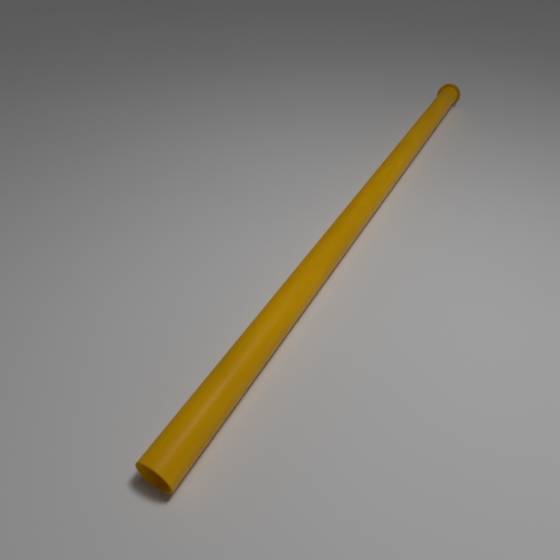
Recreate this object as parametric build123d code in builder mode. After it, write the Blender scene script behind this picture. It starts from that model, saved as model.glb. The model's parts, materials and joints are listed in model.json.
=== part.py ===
from build123d import *
from math import sqrt
import os

os.makedirs("parts", exist_ok=True)

# A sectional avalanche rescue probe, stowed in its carrying tube. The tube is a straight
# plastic pipe, open at its mouth and closed at its other end by a push-in plug whose head is
# a round flange. Four probe sections lie side by side inside it, points towards the flange,
# and slide out of the mouth. Screwed end to end they make one long probing pole.
#
# Millimetres. +X runs along the tube from its mouth to its flange, +Z is up as the tube lies
# on a table, and the origin is on the tube's axis, halfway between its two ends.

# Shafts of the four sections
shaft_od = 12.0
shaft_wall = 1.0
shaft_length = 840.0

# Screw coupling between two sections: a male stud in one shaft, a female socket in the next
thread_od = 8.0
thread_core_od = 6.8
thread_length = 14.0
relief_length = 2.0
relief_depth = 0.3
thread_run_out = 4.0
spigot_length = 24.0
bond_gap = 0.05
stud_shoulder = 3.0
collar_length = 6.0
collar_flats = 10.6
flats_length = 4.5
fitting_chamfer = 0.5

# Steel point of the first section, a little thicker than the shaft that follows it
point_step = 0.3
point_length = 32.0
point_flare = 2.0
point_band = 7.0
point_nose_od = 3.0
point_nose_round = 1.2

# Plastic cap on the last section
cap_length = 14.0
cap_dome_round = 4.0
cap_grooves = 2
cap_groove_pitch = 3.2
cap_groove_width = 1.2
cap_groove_depth = 0.5

# How the four sections nest in the tube
nest_gap = 0.3
slip_gap = 0.3
end_gap = 0.3

# Carrying tube
case_wall = 2.0
mouth_recess = 20.0
mouth_round = 0.5

# End plug with the flange, and the rubber pad on its inner face
flange_step = 6.0
flange_thickness = 3.0
flange_round = 0.8
plug_length = 24.0
plug_wall = 2.2
plug_web = 4.0
plug_draft = 0.5
plug_ease = 0.3
plug_barbs = 3
barb_pitch = 5.0
barb_length = 2.5
barb_ease = 0.03
drain_od = 5.0
pad_thickness = 5.0
pad_hole_od = 8.0
pad_chamfer = 0.8

# Radii that follow
shaft_radius = shaft_od / 2
shaft_bore_radius = shaft_radius - shaft_wall
spigot_radius = shaft_bore_radius - bond_gap
thread_radius = thread_od / 2
thread_core_radius = thread_core_od / 2
point_radius = shaft_radius + point_step

# Two by two, the sections stand nest_gap apart, and the thickest clears the bore by slip_gap
nest_radius = (point_radius + shaft_radius + nest_gap) / sqrt(2)
nest_offset = nest_radius / sqrt(2)
bore_radius = nest_radius + point_radius + slip_gap
case_radius = bore_radius + case_wall
flange_radius = case_radius + flange_step

# Stations along the tube, counted from the mouth
stud_length = stud_shoulder + relief_length + thread_length
socket_depth = relief_length + thread_length + thread_run_out
stowed_length = collar_length + shaft_length + point_length
case_length = mouth_recess + stowed_length + end_gap + pad_thickness + plug_length
mouth_x = -(case_length + flange_thickness) / 2
case_end_x = mouth_x + case_length
pad_x = case_end_x - plug_length - pad_thickness
rest_x = pad_x - end_gap


def axial_plane(x, nest=(0, 0)):
    """A plane through a piece's axis: its own x runs along +X and its y is the radius."""
    return Plane(origin=(x, nest[0], nest[1]), x_dir=(1, 0, 0), z_dir=(0, -1, 0))


def cross_plane(x, nest=(0, 0), towards=1):
    """A plane square to a piece's axis, facing the flange, or the mouth if towards is -1."""
    return Plane(origin=(x, nest[0], nest[1]), x_dir=(0, 1, 0), z_dir=(towards, 0, 0))


def own_axis(nest=(0, 0)):
    return Axis((0, nest[0], nest[1]), (1, 0, 0))


def save(piece, label):
    piece.part.label = label
    export_step(piece.part, "parts/" + label + ".step")


def round_edges_at(piece, x, radius):
    """The circular edges of a piece at station x that have the given radius."""
    edges = piece.edges().filter_by(GeomType.CIRCLE).filter_by_position(Axis.X, x - 0.01, x + 0.01)
    return edges.filter_by(lambda edge: abs(edge.radius - radius) < 0.01)


# Carrying tube: one length of pipe, with both edges of its mouth eased
with BuildPart() as case_tube:
    with BuildSketch(cross_plane(mouth_x)):
        Circle(case_radius)
        Circle(bore_radius, mode=Mode.SUBTRACT)
    extrude(amount=case_length)
    fillet(round_edges_at(case_tube, mouth_x, case_radius), mouth_round)
    fillet(round_edges_at(case_tube, mouth_x, bore_radius), mouth_round)
save(case_tube, "case_tube")

# End plug: a moulded cup, open to the outside. Its rim is the flange that stops on the end of
# the tube, its wall grips the bore with barbs that ramp up towards the flange, and its web has
# a drain hole.
plug_radius = bore_radius - plug_ease
barb_radius = bore_radius - barb_ease
cup_radius = plug_radius - plug_wall
cup_depth = flange_thickness + plug_length - plug_web
with BuildPart() as end_plug:
    with BuildSketch(axial_plane(case_end_x)):
        with BuildLine():
            Polyline(
                (flange_thickness, 0),
                (flange_thickness, flange_radius),
                (0, flange_radius),
                (0, plug_radius),
                (-plug_length, plug_radius),
                (-plug_length, 0),
                close=True,
            )
        make_face()
    revolve(axis=own_axis())
    with BuildSketch(axial_plane(case_end_x - plug_length / 2)):
        with GridLocations(barb_pitch, 1, plug_barbs, 1):
            Polygon(
                (-barb_length / 2, plug_radius),
                (-barb_length / 2, cup_radius),
                (barb_length / 2, cup_radius),
                (barb_length / 2, barb_radius),
                align=None,
            )
    revolve(axis=own_axis())
    fillet(round_edges_at(end_plug, case_end_x + flange_thickness, flange_radius), flange_round)
    fillet(round_edges_at(end_plug, case_end_x, flange_radius), flange_round)
    chamfer(round_edges_at(end_plug, case_end_x - plug_length, plug_radius), plug_wall / 2)
    with BuildSketch(axial_plane(case_end_x + flange_thickness)):
        with BuildLine():
            Polyline(
                (0, 0),
                (0, cup_radius),
                (-cup_depth, cup_radius - plug_draft),
                (-cup_depth, 0),
                close=True,
            )
        make_face()
    revolve(axis=own_axis(), mode=Mode.SUBTRACT)
    cup_floor_x = case_end_x + flange_thickness - cup_depth
    chamfer(round_edges_at(end_plug, cup_floor_x, cup_radius - plug_draft), plug_wall / 2)
    with Locations(cross_plane(cup_floor_x)):
        Hole(drain_od / 2, plug_web)
save(end_plug, "end_plug")

# Rubber pad on the plug's inner face, which the steel point lands on
with BuildPart() as shock_pad:
    with BuildSketch(cross_plane(pad_x)):
        Circle(bore_radius - slip_gap)
        Circle(pad_hole_od / 2, mode=Mode.SUBTRACT)
    extrude(amount=pad_thickness)
    chamfer(round_edges_at(shock_pad, pad_x, bore_radius - slip_gap), pad_chamfer)
save(shock_pad, "shock_pad")


def make_shaft(name, end_x, nest):
    """Drawn tube that ends at end_x and runs back towards the mouth."""
    with BuildPart() as shaft:
        with BuildSketch(cross_plane(end_x, nest, towards=-1)):
            Circle(shaft_radius)
            Circle(shaft_bore_radius, mode=Mode.SUBTRACT)
        extrude(amount=shaft_length)
    save(shaft, name + "_shaft")


def make_point(end_x, nest):
    """Steel point, glued by its spigot in the first shaft, with a turned nose."""
    with BuildPart() as point:
        with BuildSketch(axial_plane(end_x, nest)):
            with BuildLine():
                Polyline(
                    (-spigot_length, 0),
                    (-spigot_length, spigot_radius - fitting_chamfer),
                    (-spigot_length + fitting_chamfer, spigot_radius),
                    (0, spigot_radius),
                    (0, shaft_radius),
                    (point_flare, point_radius),
                    (point_flare + point_band, point_radius),
                    (point_length, point_nose_od / 2),
                    (point_length, 0),
                    close=True,
                )
            make_face()
        revolve(axis=own_axis(nest))
        fillet(round_edges_at(point, end_x + point_length, point_nose_od / 2), point_nose_round)
    save(point, "tip_point")


def make_stud(name, end_x, nest):
    """Male coupling: spigot in the shaft, flush shoulder, relief groove and threaded shank."""
    with BuildPart() as stud:
        thread_x = stud_shoulder + relief_length
        with BuildSketch(axial_plane(end_x, nest)):
            with BuildLine():
                Polyline(
                    (-spigot_length, 0),
                    (-spigot_length, spigot_radius - fitting_chamfer),
                    (-spigot_length + fitting_chamfer, spigot_radius),
                    (0, spigot_radius),
                    (0, shaft_radius),
                    (stud_shoulder - fitting_chamfer, shaft_radius),
                    (stud_shoulder, shaft_radius - fitting_chamfer),
                    (stud_shoulder, thread_core_radius - relief_depth),
                    (thread_x, thread_core_radius - relief_depth),
                    (thread_x, thread_radius),
                    (stud_length, thread_radius),
                    (stud_length, 0),
                    close=True,
                )
            make_face()
        revolve(axis=own_axis(nest))
        chamfer(
            round_edges_at(stud, end_x + stud_length, thread_radius),
            thread_radius - thread_core_radius,
        )
    save(stud, name + "_stud")


def make_socket(name, start_x, nest):
    """Female coupling: flush collar with spanner flats, and a tapped hole that takes the stud."""
    with BuildPart() as socket:
        with BuildSketch(axial_plane(start_x, nest)):
            with BuildLine():
                Polyline(
                    (-collar_length, 0),
                    (-collar_length, shaft_radius - fitting_chamfer),
                    (-collar_length + fitting_chamfer, shaft_radius),
                    (0, shaft_radius),
                    (0, spigot_radius),
                    (spigot_length - fitting_chamfer, spigot_radius),
                    (spigot_length, spigot_radius - fitting_chamfer),
                    (spigot_length, 0),
                    close=True,
                )
            make_face()
        revolve(axis=own_axis(nest))
        with BuildSketch(cross_plane(start_x - collar_length, nest)):
            Rectangle(shaft_od, shaft_od)
            Rectangle(shaft_od, collar_flats, mode=Mode.SUBTRACT)
        extrude(amount=flats_length, mode=Mode.SUBTRACT)
        with Locations(cross_plane(start_x - collar_length, nest, towards=-1)):
            CounterSinkHole(thread_core_radius, thread_radius, socket_depth, 90)
    save(socket, name + "_socket")


def make_cap(start_x, nest):
    """Plastic cap that closes the last shaft, domed and grooved for the fingers."""
    with BuildPart() as cap:
        with BuildSketch(axial_plane(start_x, nest)):
            with BuildLine():
                Polyline(
                    (-cap_length, 0),
                    (-cap_length, point_radius),
                    (0, point_radius),
                    (0, spigot_radius),
                    (spigot_length - fitting_chamfer, spigot_radius),
                    (spigot_length, spigot_radius - fitting_chamfer),
                    (spigot_length, 0),
                    close=True,
                )
            make_face()
        revolve(axis=own_axis(nest))
        fillet(round_edges_at(cap, start_x - cap_length, point_radius), cap_dome_round)
        groove_middle = (-cap_length + cap_dome_round) / 2
        with BuildSketch(axial_plane(start_x + groove_middle, nest)):
            with GridLocations(cap_groove_pitch, 1, cap_grooves, 1):
                with Locations((0, point_radius)):
                    Rectangle(cap_groove_width, 2 * cap_groove_depth)
        revolve(axis=own_axis(nest), mode=Mode.SUBTRACT)
    save(cap, "top_cap")


# The four sections, each named for its place in the assembled pole, point end first
nests = {
    "tip": (nest_offset, -nest_offset),
    "lower": (-nest_offset, -nest_offset),
    "upper": (nest_offset, nest_offset),
    "top": (-nest_offset, nest_offset),
}

for section, nest in nests.items():
    if section == "tip":
        shaft_end_x = rest_x - point_length
        make_point(shaft_end_x, nest)
    else:
        shaft_end_x = rest_x - stud_length
        make_stud(section, shaft_end_x, nest)
    make_shaft(section, shaft_end_x, nest)
    shaft_start_x = shaft_end_x - shaft_length
    if section == "top":
        make_cap(shaft_start_x, nest)
    else:
        make_socket(section, shaft_start_x, nest)

print("tube", round(2 * case_radius, 3), "x", round(case_length, 3), "bore", round(2 * bore_radius, 3))
print("mouth", round(mouth_x, 3), "tube end", round(case_end_x, 3), "rest", round(rest_x, 3))
print("nest offset", round(nest_offset, 4), "flange", round(2 * flange_radius, 3))
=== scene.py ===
"""Looks of a sectional avalanche probe in its carrying tube, with its stage and camera.

Metres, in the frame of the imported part: +X runs along the tube from its open mouth to its
flange, +Z is up as the tube lies on a table, and the origin is on the tube's axis.
"""

import json
import math

import bpy
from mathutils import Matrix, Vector


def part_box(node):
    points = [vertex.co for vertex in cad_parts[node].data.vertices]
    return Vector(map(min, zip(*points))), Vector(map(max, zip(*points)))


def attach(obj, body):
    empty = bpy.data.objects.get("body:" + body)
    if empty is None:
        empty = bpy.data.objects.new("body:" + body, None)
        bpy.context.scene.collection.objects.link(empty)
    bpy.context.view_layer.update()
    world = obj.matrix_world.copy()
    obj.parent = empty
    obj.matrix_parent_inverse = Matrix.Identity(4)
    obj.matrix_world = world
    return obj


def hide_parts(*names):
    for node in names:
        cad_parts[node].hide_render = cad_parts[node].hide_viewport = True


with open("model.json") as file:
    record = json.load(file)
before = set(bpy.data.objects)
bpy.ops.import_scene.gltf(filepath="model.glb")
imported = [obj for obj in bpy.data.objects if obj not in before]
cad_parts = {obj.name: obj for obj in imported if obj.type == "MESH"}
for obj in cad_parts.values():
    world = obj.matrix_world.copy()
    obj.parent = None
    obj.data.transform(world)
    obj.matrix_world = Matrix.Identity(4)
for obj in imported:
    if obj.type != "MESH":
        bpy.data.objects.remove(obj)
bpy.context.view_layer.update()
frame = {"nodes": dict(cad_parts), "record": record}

bl_info = {
    "name": "Avalanche probe",
    "version": (1, 0, 0),
    "blender": (4, 5, 0),
    "location": "3D View > Sidebar > Probe",
    "description": "Finishes a sectional avalanche probe in its carrying tube",
    "category": "Object",
}

MM = 0.001
SMOOTH_UNDER = 32.0  # degrees between faces that are shaded as one surface
WIDE_STEPS = 128  # facets round the tube and its plug
SHAFT_STEPS = 96
TURNED_ROUGHNESS = 0.24
TOOL_PITCH = 0.12 * MM  # between the lathe's marks on the couplings
MERGE_UNDER = 0.002 * MM
CUT_TOLERANCE = 0.0001 * MM
RECORD = frame["record"]
SECTIONS = ("tip", "lower", "upper", "top")
COUPLED_SECTIONS = ("lower", "upper", "top")
SOCKETED_SECTIONS = ("tip", "lower", "upper")

# Stations along the tube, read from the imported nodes
MOUTH_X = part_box("case_tube")[0].x
CASE_END_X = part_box("case_tube")[1].x
PLUG_INNER_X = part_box("end_plug")[0].x
FLANGE_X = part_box("end_plug")[1].x
FLANGE_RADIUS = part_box("end_plug")[1].y
SHAFT_RADIUS = (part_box("top_shaft")[1].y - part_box("top_shaft")[0].y) / 2


def mount_radius(name):
    """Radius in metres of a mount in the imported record."""
    mount = next(m for m in RECORD["mounts"] if m["name"] == name)
    return mount["dims"]["r_mm"] * MM


CASE_RADIUS = mount_radius("clip_seat")
DRAIN_RADIUS = mount_radius("drain_hole")
TAPPED_RADIUS = mount_radius("tip_socket_thread")


def centre_of(node):
    """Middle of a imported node's box."""
    low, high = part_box(node)
    return (low + high) / 2


# ---------------------------------------------------------------- settings


def length(label, description, default):
    return bpy.props.FloatProperty(
        name=label, description=description, default=default, min=0.0, precision=5, unit="LENGTH"
    )


def colour(label, description, default):
    return bpy.props.FloatVectorProperty(
        name=label, description=description, default=default, min=0.0, max=1.0, size=3, subtype="COLOR"
    )


def place(label, description, default):
    return bpy.props.FloatVectorProperty(
        name=label, description=description, default=default, size=3, subtype="XYZ", unit="LENGTH"
    )


class CaseSettings(bpy.types.PropertyGroup):
    """Sizes and colours of the carrying tube, its plug and its pad."""

    wall: length("Wall", "Thickness of the tube's wall", 2.0 * MM)
    mouth_round: length("Mouth round", "Radius on both edges of the mouth", 0.5 * MM)
    tube_plastic: colour("Tube plastic", "Body colour of the tube", (0.93, 0.48, 0.001))
    # Painted shade: the plug's colour is the tube's plastic at a little over half its brightness, so that
    # its flange face looks shaded.
    plug_plastic: colour("Plug plastic", "Body colour of the plug", (0.54, 0.285, 0.003))
    rubber: colour("Rubber", "Colour of the pad", (0.022, 0.021, 0.020))


class SectionSettings(bpy.types.PropertyGroup):
    """Sizes and colours of the four probe sections."""

    thread_pitch: length("Thread pitch", "Advance of the coupling thread in one turn", 1.25 * MM)
    mark_pitch: length("Mark pitch", "Distance between the bold depth rings", 100 * MM)
    anodised: colour("Anodised", "Colour of the anodised shafts", (0.62, 0.63, 0.65))
    etched: colour("Etched", "Colour of the etched depth rings", (0.045, 0.045, 0.05))
    bare_metal: colour("Bare metal", "Colour of the turned couplings", (0.78, 0.78, 0.79))
    steel: colour("Steel", "Colour of the point", (0.50, 0.50, 0.51))
    cap_plastic: colour("Cap plastic", "Colour of the end cap", (0.020, 0.020, 0.022))


class StageSettings(bpy.types.PropertyGroup):
    """The table, the lights and the camera."""

    table: colour("Table", "Colour of the table", (0.88, 0.875, 0.88))
    near_walls: colour("Near walls", "Light from the walls on the mouth's side", (0.345, 0.345, 0.345))
    far_walls: colour("Far walls", "Light from the walls on the flange's side", (0.095, 0.095, 0.095))
    ceiling: colour("Ceiling", "Light from the ceiling", (0.015, 0.015, 0.015))
    softbox: bpy.props.FloatProperty(
        name="Softbox", description="Power in watts of the softbox over the mouth", default=1.95, min=0.0
    )
    overhead: bpy.props.FloatProperty(
        name="Overhead", description="Strength of the broad light overhead", default=0.255, min=0.0
    )
    camera_at: place("Camera place", "Where the camera stands", (-0.54894, -0.15419, 0.32897))
    camera_aim: place("Camera aim", "Point level with the tube to look at", (-0.22451, 0.02602, 0.0))
    lens: bpy.props.FloatProperty(
        name="Lens", description="Focal length in millimetres", default=28.436, min=1.0
    )


# ---------------------------------------------------------------- materials


def add_node(tree, kind, settings, sockets, output=0):
    """Add a node, set it, give its sockets values or links, and return one of its outputs."""
    node = tree.nodes.new(kind)
    for name, value in settings.items():
        setattr(node, name, value)
    for name, value in sockets.items():
        if isinstance(value, bpy.types.NodeSocket):
            tree.links.new(value, node.inputs[name])
        else:
            node.inputs[name].default_value = value
    return node.outputs[output]


class Channel:
    """One output socket of a finish. Arithmetic on it adds Math nodes."""

    def __init__(self, finish, socket):
        self.finish = finish
        self.socket = socket

    def math(self, operation, *values):
        return self.finish.node(
            "ShaderNodeMath", {"operation": operation}, {i: value for i, value in enumerate(values)}
        )

    def __add__(self, other):
        return self.math("ADD", self, other)

    __radd__ = __add__

    def __sub__(self, other):
        return self.math("SUBTRACT", self, other)

    def __rsub__(self, other):
        return self.math("SUBTRACT", other, self)

    def __mul__(self, other):
        return self.math("MULTIPLY", self, other)

    __rmul__ = __mul__

    def __lt__(self, other):
        return self.math("LESS_THAN", self, other)

    def wrapped(self, period):
        """How far into its period the value is."""
        return self.math("FLOORED_MODULO", self, period)

    def clamped(self):
        return self.finish.node("ShaderNodeClamp", {}, {"Value": self})


class Finish:
    """A material on one Principled shader, whose patterns follow the object's own coordinates."""

    def __init__(self, name, constants):
        self.material = bpy.data.materials.new(name)
        self.material.use_nodes = True
        self.tree = self.material.node_tree
        self.shader = self.tree.nodes["Principled BSDF"]
        for socket, value in constants.items():
            self.shader.inputs[socket].default_value = value
        self.position = self.node("ShaderNodeTexCoord", {}, {}, "Object")

    def node(self, kind, settings, sockets, output=0):
        """Add a node to the material and return one of its outputs."""
        plain = {
            name: value.socket if isinstance(value, Channel) else value for name, value in sockets.items()
        }
        return Channel(self, add_node(self.tree, kind, settings, plain, output))

    def scaled(self, scale, centre=(0.0, 0.0, 0.0)):
        """The object's coordinates from a centre, stretched by a scale on each axis."""
        moved = self.node(
            "ShaderNodeVectorMath", {"operation": "SUBTRACT"}, {0: self.position, 1: tuple(centre)}
        )
        return self.node("ShaderNodeVectorMath", {"operation": "MULTIPLY"}, {0: moved, 1: scale})

    def axis(self, name, centre=(0.0, 0.0, 0.0)):
        """Distance in metres along one axis, from a centre."""
        return self.node(
            "ShaderNodeSeparateXYZ", {}, {"Vector": self.scaled((1.0, 1.0, 1.0), centre)}, name
        )

    def noise(self, scale, detail=3.0, roughness=0.5, centre=(0.0, 0.0, 0.0)):
        """Noise from 0 to 1 with its own number of cells per metre on each axis."""
        return self.node(
            "ShaderNodeTexNoise",
            {"noise_dimensions": "3D"},
            {"Vector": self.scaled(scale, centre), "Scale": 1.0, "Detail": detail, "Roughness": roughness},
            "Fac",
        )

    def stepped(self, value, low, high):
        """A ramp of the value from 0 at low to 1 at high."""
        return self.node(
            "ShaderNodeMapRange",
            {"interpolation_type": "SMOOTHSTEP"},
            {"Value": value, "From Min": low, "From Max": high},
        )

    def blend(self, factor, first, second):
        """The first colour where the factor is 0 and the second where it is 1."""
        colours = {
            index: value if isinstance(value, Channel) else (*value, 1.0)
            for index, value in ((6, first), (7, second))
        }
        return self.node(
            "ShaderNodeMix", {"data_type": "RGBA", "clamp_factor": True}, {0: factor, **colours}, 2
        )

    def surface(self, base_color=None, roughness=None, metallic=None, height=None, depth=1.0 * MM):
        """Link what varies over the surface. Height, from 0 to 1, stands for the given depth."""
        links = {"Base Color": base_color, "Roughness": roughness, "Metallic": metallic}
        if height is not None:
            links["Normal"] = self.node(
                "ShaderNodeBump", {}, {"Height": height, "Distance": depth, "Strength": 1.0}
            )
        for socket, value in links.items():
            if value is not None:
                self.tree.links.new(value.socket, self.shader.inputs[socket])
        return self.material


def shade(tone, amount):
    """A colour made darker or lighter by a factor."""
    return tuple(min(1.0, channel * amount) for channel in tone)


def extruded_plastic(settings):
    """Pigmented pipe: cloudy colour, die lines along its length, scuffs, and a rougher sawn mouth. Painted
    shade darkens the sawn face, and painted light makes the bore lighter.
    """
    finish = Finish(
        "extruded_plastic",
        {
            "IOR": 1.49,
            "Specular IOR Level": 0.20,
            "Specular Tint": (1.0, 0.92, 0.55, 1.0),
            "Subsurface Weight": 0.25,
            "Subsurface Scale": 1.6 * MM,
            "Subsurface Radius": (1.0, 0.45, 0.06),
        },
    )
    tone = tuple(settings.tube_plastic)
    cloud = finish.noise((9.0, 38.0, 38.0), 4.0, 0.55)
    die_lines = finish.noise((1.5, 950.0, 950.0), 2.0, 0.6)
    grain = finish.noise((2600.0, 2600.0, 2600.0), 2.0, 0.5)
    scuffs = finish.stepped(finish.noise((55.0, 420.0, 420.0), 5.0, 0.7), 0.60, 0.74)
    patches = finish.stepped(finish.noise((14.0, 45.0, 45.0), 3.0, 0.5, (0.3, 0.1, 0.2)), 0.46, 0.66)
    wear = scuffs * patches
    # Mask of the sawn mouth face. It drives the face's real extra roughness and also painted shade.
    sawn_face_and_painted_shade = 1.0 - finish.stepped(finish.axis("X"), MOUTH_X + 0.1 * MM, MOUTH_X + 0.9 * MM)
    base = finish.blend(finish.stepped(cloud, 0.30, 0.72), shade(tone, 0.90), shade(tone, 1.08))
    base = finish.blend(finish.stepped(die_lines, 0.35, 0.70) * 0.35, base, shade(tone, 0.86))
    base = finish.blend(wear * 0.22, base, (0.86, 0.60, 0.06))
    # Painted light: inside the bore the colour is lighter and more orange. It stands for light coming
    # through the translucent wall.
    across, up = finish.axis("Y"), finish.axis("Z")
    bore_radius = CASE_RADIUS - settings.wall
    outside_of_painted_bore_light = finish.stepped(across * across + up * up, bore_radius**2, CASE_RADIUS**2)
    base = finish.blend(outside_of_painted_bore_light, (0.99, 0.56, 0.002), base)
    # Painted shade: the sawn face of the mouth is darkened to 0.42 of the tube's colour to stand for the
    # shade that falls on it.
    base = finish.blend(sawn_face_and_painted_shade * 0.55, base, shade(tone, 0.42))
    roughness = 0.36 + 0.10 * cloud + 0.16 * wear + 0.22 * sawn_face_and_painted_shade
    height = 0.55 * die_lines + 0.25 * grain + 0.35 * wear
    return finish.surface(base, roughness, height=height, depth=0.035 * MM)


def moulded_plastic(settings):
    """Injection-moulded plug: fine spark-eroded grain and flow marks round its axis, on a body colour
    darkened as painted shade.
    """
    finish = Finish(
        "moulded_plastic",
        {
            "IOR": 1.49,
            "Specular IOR Level": 0.20,
            "Specular Tint": (1.0, 0.92, 0.55, 1.0),
            "Subsurface Weight": 0.20,
            "Subsurface Scale": 1.4 * MM,
            "Subsurface Radius": (1.0, 0.45, 0.06),
        },
    )
    # The plug's tone carries painted shade: it is the tube's plastic, darkened.
    tone = tuple(settings.plug_plastic)
    cloud = finish.noise((60.0, 60.0, 60.0), 3.0, 0.5)
    grain = finish.noise((1700.0, 1700.0, 1700.0), 3.0, 0.6)
    rubbed = finish.stepped(finish.noise((240.0, 240.0, 240.0), 5.0, 0.7), 0.56, 0.72)
    base = finish.blend(finish.stepped(cloud, 0.30, 0.70), shade(tone, 0.92), shade(tone, 1.05))
    base = finish.blend(rubbed * 0.18, base, (0.84, 0.58, 0.06))
    roughness = 0.40 + 0.12 * grain + 0.12 * rubbed
    return finish.surface(base, roughness, height=grain, depth=0.03 * MM)


def pad_rubber(settings):
    """Die-cut rubber: matt black, with fine grain and a little bloom."""
    finish = Finish("die_cut_rubber", {"IOR": 1.52})
    tone = tuple(settings.rubber)
    grain = finish.noise((1500.0, 1500.0, 1500.0), 4.0, 0.6)
    bloom = finish.stepped(finish.noise((120.0, 120.0, 120.0), 4.0, 0.6), 0.50, 0.72)
    base = finish.blend(bloom * 0.5, tone, shade(tone, 3.0))
    return finish.surface(base, 0.72 + 0.15 * grain, height=grain, depth=0.06 * MM)


def anodised_shaft(settings, section):
    """Drawn aluminium tube, satin anodised, with depth rings etched in it."""
    finish = Finish(section + "_anodised", {"IOR": 1.45})
    centre = centre_of(section + "_shaft")
    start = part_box(section + "_shaft")[0].x
    tone = tuple(settings.anodised)
    along = finish.axis("X", (start, 0.0, 0.0))
    drawn = finish.noise((5.0, 2200.0, 2200.0), 3.0, 0.6, centre)
    cloud = finish.noise((22.0, 120.0, 120.0), 3.0, 0.5, centre)
    rubbed = finish.stepped(finish.noise((160.0, 900.0, 900.0), 5.0, 0.7, centre), 0.60, 0.76)
    bold_width = 3.0 * MM
    fine_width = 0.7 * MM
    fine_pitch = 10.0 * MM
    bold = along.wrapped(settings.mark_pitch) < bold_width
    half_bold = (along + settings.mark_pitch / 2).wrapped(settings.mark_pitch) < bold_width / 2
    fine = along.wrapped(fine_pitch) < fine_width
    ring = (bold + half_bold + fine).clamped()
    etched = (ring * (1.0 - 0.35 * rubbed)).clamped()
    base = finish.blend(cloud, shade(tone, 0.92), shade(tone, 1.04))
    base = finish.blend(etched, base, tuple(settings.etched))
    roughness = 0.30 + 0.12 * drawn + 0.25 * etched + 0.12 * rubbed
    metallic = 1.0 - 0.75 * etched
    height = 0.6 * drawn - 0.8 * etched
    return finish.surface(base, roughness, metallic, height, 0.012 * MM)


def turned_metal(name, tone, node, roughness, tool_pitch):
    """Metal from a lathe: fine rings across its axis, with handling marks."""
    finish = Finish(name, {"IOR": 1.45})
    centre = centre_of(node)
    rings_per_metre = 1 / tool_pitch
    rings = finish.noise((rings_per_metre, 25.0, 25.0), 2.0, 0.5, centre)
    handled = finish.stepped(finish.noise((190.0, 190.0, 190.0), 5.0, 0.65, centre), 0.48, 0.72)
    nicks = finish.stepped(finish.noise((700.0, 700.0, 700.0), 3.0, 0.7, centre), 0.66, 0.74)
    base = finish.blend(handled, shade(tone, 1.0), shade(tone, 0.80))
    base = finish.blend(nicks * 0.5, base, shade(tone, 0.45))
    rough = roughness + 0.10 * rings + 0.14 * handled + 0.1 * nicks
    metallic = 1.0 - 0.10 * handled
    height = 0.6 * rings - 0.5 * nicks
    return finish.surface(base, rough, metallic, height, 0.012 * MM)


def cap_plastic(settings):
    """Moulded black cap: fine leather-like grain, polished a little where it is gripped."""
    finish = Finish("moulded_cap", {"IOR": 1.50})
    tone = tuple(settings.cap_plastic)
    centre = centre_of("top_cap")
    grain = finish.noise((1900.0, 1900.0, 1900.0), 3.0, 0.6, centre)
    gripped = finish.stepped(finish.noise((140.0, 260.0, 260.0), 4.0, 0.6, centre), 0.45, 0.70)
    base = finish.blend(gripped * 0.6, tone, shade(tone, 2.2))
    return finish.surface(base, 0.62 + 0.14 * grain - 0.18 * gripped, height=grain, depth=0.05 * MM)


def painted_table(settings):
    """Pale painted table with a faint roller texture."""
    finish = Finish("painted_table", {"IOR": 1.45, "Specular IOR Level": 0.25})
    tone = tuple(settings.table)
    cloud = finish.noise((2.2, 2.2, 2.2), 4.0, 0.5)
    roller = finish.noise((420.0, 420.0, 420.0), 3.0, 0.6)
    base = finish.blend(finish.stepped(cloud, 0.30, 0.70), shade(tone, 0.985), shade(tone, 1.015))
    return finish.surface(base, 0.62 + 0.10 * roller, height=roller, depth=0.02 * MM)


# ---------------------------------------------------------------- modelling


def deselect_all():
    if bpy.context.mode != "OBJECT":
        bpy.ops.object.mode_set(mode="OBJECT")
    bpy.ops.object.select_all(action="DESELECT")


def edit(piece):
    """Make a piece the only selected one and open it for editing."""
    deselect_all()
    piece.select_set(True)
    bpy.context.view_layer.objects.active = piece
    bpy.ops.object.mode_set(mode="EDIT")


def select_vertices(piece, test):
    """Select the vertices of the piece being edited whose place passes the test."""
    bpy.ops.mesh.select_all(action="DESELECT")
    bpy.ops.object.mode_set(mode="OBJECT")
    for vertex in piece.data.vertices:
        vertex.select = test(vertex.co)
    bpy.ops.object.mode_set(mode="EDIT")


def drawn_line(name, points):
    """A line through (x, radius) points in the plane above the axis, from vertex to vertex."""
    deselect_all()
    x, radius = points[0]
    bpy.ops.mesh.primitive_plane_add(size=1.0 * MM, location=(x, 0.0, radius))
    piece = bpy.context.object
    piece.name = name
    bpy.ops.object.transform_apply()
    bpy.ops.object.mode_set(mode="EDIT")
    bpy.ops.mesh.select_all(action="SELECT")
    bpy.ops.mesh.merge(type="CENTER")
    for next_x, next_radius in points[1:]:
        step = (next_x - x, 0.0, next_radius - radius)
        bpy.ops.mesh.extrude_region_move(TRANSFORM_OT_translate={"value": step})
        x, radius = next_x, next_radius
    bpy.ops.object.mode_set(mode="OBJECT")
    return piece


def close_up(piece):
    """Merge doubles, drop faces with no area and turn every face outwards."""
    edit(piece)
    bpy.ops.mesh.select_all(action="SELECT")
    bpy.ops.mesh.remove_doubles(threshold=MERGE_UNDER)
    bpy.ops.mesh.dissolve_degenerate(threshold=MERGE_UNDER / 2)
    bpy.ops.mesh.select_all(action="SELECT")
    bpy.ops.mesh.delete_loose()
    bpy.ops.mesh.select_all(action="SELECT")
    bpy.ops.mesh.normals_make_consistent(inside=False)
    bpy.ops.object.mode_set(mode="OBJECT")


def turned(name, outline, steps=72):
    """Spin an outline of (x, radius) points once round the X axis."""
    piece = drawn_line(name, outline)
    edit(piece)
    bpy.ops.mesh.select_all(action="SELECT")
    bpy.ops.mesh.spin(steps=steps, angle=math.tau, center=(0.0, 0.0, 0.0), axis=(1.0, 0.0, 0.0))
    close_up(piece)
    return piece


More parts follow.
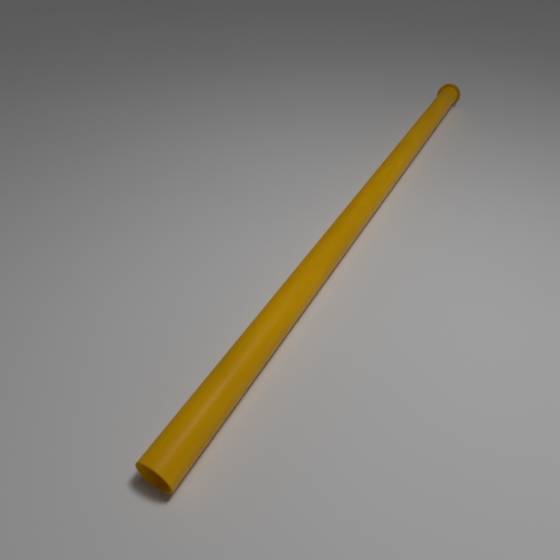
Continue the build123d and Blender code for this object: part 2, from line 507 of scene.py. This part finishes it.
def arc(centre, radius, start, end, steps=5):
    """Points round a centre (x, radius), from one angle to another in degrees."""
    angles = [math.radians(start + (end - start) * i / steps) for i in range(steps + 1)]
    return [(centre[0] + radius * math.cos(a), centre[1] + radius * math.sin(a)) for a in angles]


def apply_modifier(piece, kind, **settings):
    """Add a modifier, set it and apply it."""
    deselect_all()
    piece.select_set(True)
    bpy.context.view_layer.objects.active = piece
    modifier = piece.modifiers.new(kind.title(), kind)
    for name, value in settings.items():
        setattr(modifier, name, value)
    bpy.ops.object.modifier_apply(modifier=modifier.name)


def combine(piece, tool, operation):
    """Add, cut or keep what the tool covers, then delete the tool."""
    apply_modifier(piece, "BOOLEAN", operation=operation, object=tool, solver="EXACT")
    bpy.data.objects.remove(tool)
    close_up(piece)


def threaded_rod(name, start_x, end_x, core_radius, crest_radius, pitch, steps=40):
    """A rod with a right-handed 60 degree thread, cut square at both ends."""
    flank = (crest_radius - core_radius) * math.tan(math.radians(30))
    crest = pitch / 8
    root = pitch - crest - 2 * flank
    first_x = start_x - pitch
    turns = math.ceil((end_x - start_x) / pitch) + 2
    rod = drawn_line(
        name,
        [
            (first_x, core_radius),
            (first_x + root, core_radius),
            (first_x + root + flank, crest_radius),
            (first_x + root + flank + crest, crest_radius),
            (first_x + pitch, core_radius),
        ],
    )
    apply_modifier(
        rod,
        "SCREW",
        axis="X",
        angle=math.tau,
        screw_offset=pitch,
        iterations=turns,
        steps=steps,
        render_steps=steps,
        use_merge_vertices=True,
        merge_threshold=MERGE_UNDER,
    )
    close_up(rod)
    edit(rod)
    for x, outwards in ((start_x, -1.0), (end_x, 1.0)):
        bpy.ops.mesh.select_all(action="SELECT")
        bpy.ops.mesh.bisect(
            plane_co=(x, 0.0, 0.0),
            plane_no=(outwards, 0.0, 0.0),
            use_fill=True,
            clear_outer=True,
            threshold=CUT_TOLERANCE,
        )
    close_up(rod)
    return rod


def finished(piece, material, body, node, place=(0.0, 0.0, 0.0)):
    """Set a piece in its place, give it its finish, and let it ride on its body for its node."""
    deselect_all()
    piece.select_set(True)
    bpy.context.view_layer.objects.active = piece
    piece.location = place
    bpy.ops.object.transform_apply()
    bpy.ops.object.shade_smooth_by_angle(angle=math.radians(SMOOTH_UNDER))
    piece.data.materials.clear()
    piece.data.materials.append(material)
    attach(piece, body)
    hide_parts(node)


def dress(node, material):
    """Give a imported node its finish."""
    for slot in frame["nodes"][node].material_slots:
        slot.material = material


# ---------------------------------------------------------------- operators


class PROBE_OT_carrying_tube(bpy.types.Operator):
    """Model the carrying tube with its eased, sawn mouth"""

    bl_idname = "probe.carrying_tube"
    bl_label = "Carrying tube"
    bl_options = {"REGISTER", "UNDO"}

    def execute(self, context):
        case = context.scene.probe_case
        bore_radius = CASE_RADIUS - case.wall
        soft = case.mouth_round
        outline = [(CASE_END_X, bore_radius)]
        outline.append((CASE_END_X, CASE_RADIUS))
        outline += arc((MOUTH_X + soft, CASE_RADIUS - soft), soft, 90, 180)
        outline += arc((MOUTH_X + soft, bore_radius + soft), soft, 180, 270)
        outline.append((CASE_END_X, bore_radius))
        tube = turned("carrying_tube", outline, steps=WIDE_STEPS)
        finished(tube, extruded_plastic(case), "case", "case_tube")
        return {"FINISHED"}


class PROBE_OT_flanged_plug(bpy.types.Operator):
    """Model the moulded end plug with its flange, barbs and drain hole"""

    bl_idname = "probe.flanged_plug"
    bl_label = "Flanged plug"
    bl_options = {"REGISTER", "UNDO"}

    edge_round = 0.8 * MM
    wall = 2.2 * MM
    web = 4.0 * MM
    draft = 0.5 * MM
    ease = 0.3 * MM
    barb_ease = 0.03 * MM
    barbs = 3
    barb_pitch = 5.0 * MM
    barb_length = 2.5 * MM
    lip_round = 0.6 * MM

    def barb_points(self, plug_radius, barb_radius):
        """Ramps that rise towards the flange, from the flange's side to the inner end."""
        middle = (CASE_END_X + PLUG_INNER_X) / 2
        points = []
        for i in reversed(range(self.barbs)):
            centre = middle + (i - (self.barbs - 1) / 2) * self.barb_pitch
            top = centre + self.barb_length / 2
            points += [(top, plug_radius), (top, barb_radius), (top - self.barb_length, plug_radius)]
        return points

    def execute(self, context):
        case = context.scene.probe_case
        bore_radius = CASE_RADIUS - case.wall
        plug_radius = bore_radius - self.ease
        cup_radius = plug_radius - self.wall
        floor_x = PLUG_INNER_X + self.web
        soft = self.edge_round
        lip = self.lip_round
        outline = [(floor_x, DRAIN_RADIUS)]
        outline += [(floor_x, cup_radius - self.draft - self.wall / 2)]
        outline += [(floor_x + self.wall / 2, cup_radius - self.draft)]
        outline += arc((FLANGE_X - lip, cup_radius + lip), lip, -90, 0)
        outline += arc((FLANGE_X - soft, FLANGE_RADIUS - soft), soft, 0, 90)
        outline += arc((CASE_END_X + soft, FLANGE_RADIUS - soft), soft, 90, 180)
        outline.append((CASE_END_X, plug_radius))
        outline += self.barb_points(plug_radius, bore_radius - self.barb_ease)
        outline += [(PLUG_INNER_X + self.wall / 2, plug_radius)]
        outline += [(PLUG_INNER_X, plug_radius - self.wall / 2)]
        outline += [(PLUG_INNER_X, DRAIN_RADIUS), (floor_x, DRAIN_RADIUS)]
        plug = turned("flanged_plug", outline, steps=WIDE_STEPS)
        finished(plug, moulded_plastic(case), "case", "end_plug")
        return {"FINISHED"}


class PROBE_OT_rubber_pad(bpy.types.Operator):
    """Give the pad behind the points its rubber"""

    bl_idname = "probe.rubber_pad"
    bl_label = "Rubber pad"
    bl_options = {"REGISTER", "UNDO"}

    def execute(self, context):
        dress("shock_pad", pad_rubber(context.scene.probe_case))
        return {"FINISHED"}


class PROBE_OT_shafts(bpy.types.Operator):
    """Model the four drawn tubes with their eased ends and etched depth rings"""

    bl_idname = "probe.shafts"
    bl_label = "Shafts"
    bl_options = {"REGISTER", "UNDO"}

    wall = 1.0 * MM
    ease = 0.2 * MM

    def execute(self, context):
        sections = context.scene.probe_sections
        inner = SHAFT_RADIUS - self.wall
        for section in SECTIONS:
            node = section + "_shaft"
            low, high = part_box(node)
            outline = [
                (low.x, inner),
                (low.x, SHAFT_RADIUS - self.ease),
                (low.x + self.ease, SHAFT_RADIUS),
                (high.x - self.ease, SHAFT_RADIUS),
                (high.x, SHAFT_RADIUS - self.ease),
                (high.x, inner),
                (low.x, inner),
            ]
            shaft = turned(section + "_drawn_shaft", outline, steps=SHAFT_STEPS)
            middle = centre_of(node)
            at = (0.0, middle.y, middle.z)
            metal = anodised_shaft(sections, section)
            finished(shaft, metal, section + "_section", node, place=at)
        return {"FINISHED"}


class PROBE_OT_studs(bpy.types.Operator):
    """Model the male couplings with their threads"""

    bl_idname = "probe.studs"
    bl_label = "Studs"
    bl_options = {"REGISTER", "UNDO"}

    spigot_length = 24.0 * MM
    spigot_radius = 4.95 * MM
    shoulder = 3.0 * MM
    relief = 2.0 * MM
    relief_radius = 3.1 * MM
    crest_radius = 4.0 * MM
    chamfer = 0.5 * MM
    beyond = 1.0 * MM
    hair = 0.01 * MM

    def execute(self, context):
        sections = context.scene.probe_sections
        for section in COUPLED_SECTIONS:
            node = section + "_stud"
            low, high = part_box(node)
            root_x = low.x + self.spigot_length
            thread_x = root_x + self.shoulder + self.relief
            edge = self.chamfer
            body = turned(
                section + "_threaded_stud",
                [
                    (low.x, 0.0),
                    (low.x, self.spigot_radius - edge),
                    (low.x + edge, self.spigot_radius),
                    (root_x, self.spigot_radius),
                    (root_x, SHAFT_RADIUS),
                    (root_x + self.shoulder - edge, SHAFT_RADIUS),
                    (root_x + self.shoulder, SHAFT_RADIUS - edge),
                    (root_x + self.shoulder, self.relief_radius),
                    (high.x - edge, self.relief_radius),
                    (high.x - edge, 0.0),
                ],
            )
            rod = threaded_rod(
                "thread", thread_x, high.x, TAPPED_RADIUS, self.crest_radius, sections.thread_pitch
            )
            wide = self.crest_radius + self.beyond
            lead = wide - TAPPED_RADIUS
            envelope = turned(
                "envelope",
                [
                    (thread_x - self.beyond, 0.0),
                    (thread_x - self.beyond, self.relief_radius),
                    (thread_x - self.beyond + lead, wide),
                    (high.x - lead, wide),
                    (high.x + self.hair, TAPPED_RADIUS),
                    (high.x + self.hair, 0.0),
                ],
            )
            combine(rod, envelope, "INTERSECT")
            combine(body, rod, "UNION")
            metal = turned_metal(
                node + "_metal", tuple(sections.bare_metal), node, TURNED_ROUGHNESS, TOOL_PITCH
            )
            middle = centre_of(node)
            at = (0.0, middle.y, middle.z)
            finished(body, metal, section + "_section", node, place=at)
        return {"FINISHED"}


class PROBE_OT_sockets(bpy.types.Operator):
    """Model the female couplings with their spanner flats and tapped holes"""

    bl_idname = "probe.sockets"
    bl_label = "Sockets"
    bl_options = {"REGISTER", "UNDO"}

    collar = 6.0 * MM
    spigot_radius = 4.95 * MM
    crest_radius = 4.0 * MM
    mouth_radius = 4.2 * MM
    hole_depth = 20.0 * MM
    thread_depth = 18.0 * MM
    flat_to_axis = 5.3 * MM
    flats_length = 4.5 * MM
    chamfer = 0.5 * MM
    beyond = 1.0 * MM
    hair = 0.01 * MM
    core_clearance = 0.05 * MM
    cone_depth = 0.6  # of the hole's drilled end, for each unit of its radius

    def cut_flats(self, piece, face_x):
        """Press the collar's sides onto two parallel planes."""
        end_x = face_x + self.flats_length - self.hair / 2
        edit(piece)
        for side in (-1.0, 1.0):
            level = side * self.flat_to_axis
            select_vertices(piece, lambda co: co.x < end_x and co.z * side > self.flat_to_axis)
            bpy.ops.transform.resize(value=(1.0, 1.0, 0.0), center_override=(face_x, 0.0, level))
        bpy.ops.object.mode_set(mode="OBJECT")

    def execute(self, context):
        sections = context.scene.probe_sections
        for section in SOCKETED_SECTIONS:
            node = section + "_socket"
            low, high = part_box(node)
            face_x = low.x
            edge = self.chamfer
            flats_end = face_x + self.flats_length
            lead = self.mouth_radius - TAPPED_RADIUS
            body = turned(
                section + "_tapped_socket",
                [
                    (face_x + lead, TAPPED_RADIUS),
                    (face_x, self.mouth_radius),
                    (face_x, SHAFT_RADIUS - edge),
                    (face_x + edge, SHAFT_RADIUS),
                    (flats_end - self.hair, SHAFT_RADIUS),
                    (flats_end, SHAFT_RADIUS),
                    (face_x + self.collar, SHAFT_RADIUS),
                    (face_x + self.collar, self.spigot_radius),
                    (high.x - edge, self.spigot_radius),
                    (high.x, self.spigot_radius - edge),
                    (high.x, 0.0),
                    (face_x + self.hole_depth + TAPPED_RADIUS * self.cone_depth, 0.0),
                    (face_x + self.hole_depth, TAPPED_RADIUS),
                    (face_x + lead, TAPPED_RADIUS),
                ],
            )
            self.cut_flats(body, face_x)
            tap = threaded_rod(
                "tap",
                face_x - self.beyond,
                face_x + self.thread_depth,
                TAPPED_RADIUS - self.core_clearance,
                self.crest_radius,
                sections.thread_pitch,
            )
            combine(body, tap, "DIFFERENCE")
            metal = turned_metal(
                node + "_metal", tuple(sections.bare_metal), node, TURNED_ROUGHNESS, TOOL_PITCH
            )
            middle = centre_of(node)
            at = (0.0, middle.y, middle.z)
            finished(body, metal, section + "_section", node, place=at)
        return {"FINISHED"}


class PROBE_OT_steel_point(bpy.types.Operator):
    """Give the steel point its turned finish"""

    bl_idname = "probe.steel_point"
    bl_label = "Steel point"
    bl_options = {"REGISTER", "UNDO"}

    def execute(self, context):
        tone = tuple(context.scene.probe_sections.steel)
        dress("tip_point", turned_metal("point_steel", tone, "tip_point", 0.28, 0.16 * MM))
        return {"FINISHED"}


class PROBE_OT_end_cap(bpy.types.Operator):
    """Give the last section's cap its black plastic"""

    bl_idname = "probe.end_cap"
    bl_label = "End cap"
    bl_options = {"REGISTER", "UNDO"}

    def execute(self, context):
        dress("top_cap", cap_plastic(context.scene.probe_sections))
        return {"FINISHED"}


class PROBE_OT_stage(bpy.types.Operator):
    """Lay the table, hang the lights and set up the camera"""

    bl_idname = "probe.stage"
    bl_label = "Stage"
    bl_options = {"REGISTER", "UNDO"}

    table_size = 9.0
    table_gap = 0.2 * MM

    softbox_at = (-0.23, -0.23, 0.8)
    softbox_side = 0.16
    overhead_from = (0.22, -0.13, 0.96)
    overhead_angle = 24.0
    wall_top = 0.1
    ceiling_edge = 0.5
    walls_meet = 0.6

    def lay_table(self, stage):
        """The tube rests on its mouth's rim and its flange's edge, so the table leans with it."""
        run = FLANGE_X - MOUTH_X
        lean = math.atan2(FLANGE_RADIUS - CASE_RADIUS, run)
        middle_z = -(FLANGE_RADIUS + CASE_RADIUS) / 2 - self.table_gap
        deselect_all()
        bpy.ops.mesh.primitive_grid_add(
            x_subdivisions=8,
            y_subdivisions=8,
            size=self.table_size,
            location=(0.0, 0.0, middle_z),
            rotation=(0.0, lean, 0.0),
        )
        table = bpy.context.object
        table.name = "table"
        bpy.ops.object.transform_apply()
        table.data.materials.append(painted_table(stage))

    def hang_lights(self, stage):
        """A softbox over the mouth that faces the tube, and a broad light overhead."""
        deselect_all()
        bpy.ops.object.light_add(type="AREA", location=self.softbox_at)
        softbox = bpy.context.object
        softbox.name = "softbox"
        softbox.data.size = self.softbox_side
        softbox.data.energy = stage.softbox
        softbox.rotation_euler = softbox.location.to_track_quat("Z", "Y").to_euler()
        deselect_all()
        bpy.ops.object.light_add(type="SUN", location=self.overhead_from)
        overhead = bpy.context.object
        overhead.name = "overhead"
        overhead.data.angle = math.radians(self.overhead_angle)
        overhead.data.energy = stage.overhead
        overhead.rotation_euler = overhead.location.to_track_quat("Z", "Y").to_euler()

    @staticmethod
    def fade(tree, facing, axis, low, high):
        """A ramp of one axis of a direction from 0 at low to 1 at high."""
        part = add_node(tree, "ShaderNodeSeparateXYZ", {}, {"Vector": facing}, axis)
        ends = {"Value": part, "From Min": low, "From Max": high}
        return add_node(tree, "ShaderNodeMapRange", {"interpolation_type": "SMOOTHSTEP"}, ends)

    @staticmethod
    def mix(tree, factor, first, second):
        """The first colour where the factor is 0 and the second where it is 1."""
        return add_node(tree, "ShaderNodeMix", {"data_type": "RGBA"}, {0: factor, 6: first, 7: second}, 2)

    def light_room(self, stage):
        """Pale walls round the horizon, brighter on the mouth's side, fading to a dark ceiling."""
        world = bpy.data.worlds.new("room")
        bpy.context.scene.world = world
        world.use_nodes = True
        tree = world.node_tree
        facing = add_node(tree, "ShaderNodeTexCoord", {}, {}, "Generated")
        across = self.fade(tree, facing, "X", -self.walls_meet, self.walls_meet)
        upwards = self.fade(tree, facing, "Z", self.wall_top, self.ceiling_edge)
        walls = self.mix(tree, across, (*stage.near_walls, 1.0), (*stage.far_walls, 1.0))
        light = self.mix(tree, upwards, walls, (*stage.ceiling, 1.0))
        tree.links.new(light, tree.nodes["Background"].inputs["Color"])

    def set_camera(self, stage):
        deselect_all()
        bpy.ops.object.camera_add(location=stage.camera_at)
        camera = bpy.context.object
        camera.name = "camera"
        camera.data.lens = stage.lens
        camera.data.clip_start = 0.01
        aim = Vector(stage.camera_aim) - camera.location
        camera.rotation_euler = aim.to_track_quat("-Z", "Y").to_euler()
        bpy.context.scene.camera = camera

    def execute(self, context):
        stage = context.scene.probe_stage
        self.lay_table(stage)
        self.hang_lights(stage)
        self.light_room(stage)
        self.set_camera(stage)
        context.scene.view_settings.view_transform = "Standard"
        return {"FINISHED"}


OPERATORS = (
    PROBE_OT_carrying_tube,
    PROBE_OT_flanged_plug,
    PROBE_OT_rubber_pad,
    PROBE_OT_shafts,
    PROBE_OT_studs,
    PROBE_OT_sockets,
    PROBE_OT_steel_point,
    PROBE_OT_end_cap,
    PROBE_OT_stage,
)


class PROBE_PT_panel(bpy.types.Panel):
    """Buttons for the probe's pieces and stage, with their settings"""

    bl_label = "Avalanche probe"
    bl_idname = "PROBE_PT_panel"
    bl_space_type = "VIEW_3D"
    bl_region_type = "UI"
    bl_category = "Probe"

    def draw(self, context):
        for operator in OPERATORS:
            self.layout.operator(operator.bl_idname)
        for group in (context.scene.probe_case, context.scene.probe_sections, context.scene.probe_stage):
            box = self.layout.box()
            for name in group.__annotations__:
                box.prop(group, name)


SETTINGS = {
    "probe_case": CaseSettings,
    "probe_sections": SectionSettings,
    "probe_stage": StageSettings,
}


def register():
    for group in SETTINGS.values():
        bpy.utils.register_class(group)
    for name, group in SETTINGS.items():
        setattr(bpy.types.Scene, name, bpy.props.PointerProperty(type=group))
    for item in (*OPERATORS, PROBE_PT_panel):
        bpy.utils.register_class(item)


def unregister():
    for item in (PROBE_PT_panel, *reversed(OPERATORS)):
        bpy.utils.unregister_class(item)
    for name in SETTINGS:
        delattr(bpy.types.Scene, name)
    for group in reversed(SETTINGS.values()):
        bpy.utils.unregister_class(group)


def main():
    register()
    for step in (
        bpy.ops.probe.carrying_tube,
        bpy.ops.probe.flanged_plug,
        bpy.ops.probe.rubber_pad,
        bpy.ops.probe.shafts,
        bpy.ops.probe.studs,
        bpy.ops.probe.sockets,
        bpy.ops.probe.steel_point,
        bpy.ops.probe.end_cap,
        bpy.ops.probe.stage,
    ):
        step()


if __name__ == "__main__":
    main()
